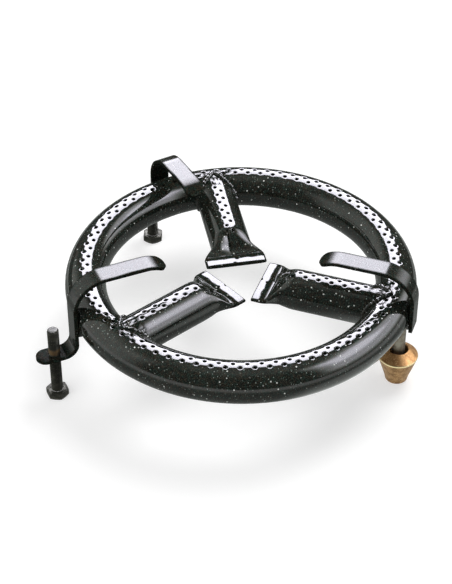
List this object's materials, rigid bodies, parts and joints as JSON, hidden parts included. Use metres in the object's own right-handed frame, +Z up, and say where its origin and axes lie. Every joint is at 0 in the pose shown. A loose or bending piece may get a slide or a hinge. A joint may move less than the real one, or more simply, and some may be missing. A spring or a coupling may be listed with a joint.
{
  "type": "ring gas burner",
  "caption": "Enamelled tubular ring burner with inward fish-tail spokes, bent flat-bar pot supports, levelling bolts and a brass gas and air mixer cup underneath.",
  "frame": {"origin": "centre of the assembly's footprint, on the ground that the bolts and the mixer cup stand on", "axes": "+Z up; +X to the right and +Y away from the viewer as the reference picture shows it"},
  "size_m": [0.3218, 0.3128, 0.116],
  "materials": {
    "enamel": "glossy black vitreous enamel with fine pale flecks",
    "black_steel": "black oxide, semi-gloss, slightly worn",
    "brass": "satin turned brass, tarnished",
    "pipe_steel": "bare drawn steel"
  },
  "bodies": {
    "burner": {"ring_tube": "enamel", "spoke_back": "enamel", "spoke_left": "enamel", "spoke_right": "enamel", "bracket_back": "enamel", "ring_lug_back": "enamel", "bracket_left": "enamel", "ring_lug_left": "enamel", "bracket_right": "enamel", "ring_lug_right": "enamel", "mixer_cup": "brass", "gas_jet": "brass", "inlet_pipe": "pipe_steel"},
    "bolt_back": {"levelling_bolt_back": "black_steel"},
    "bolt_left": {"levelling_bolt_left": "black_steel"}
  },
  "joints": [
    {"name": "level_back", "type": "slide", "parent": "burner", "child": "bolt_back", "axis": [0, 0, 1], "range_m": [-0.0103, 0.0355]},
    {"name": "level_left", "type": "slide", "parent": "burner", "child": "bolt_left", "axis": [0, 0, 1], "range_m": [-0.0253, 0.0355]}
  ]
}
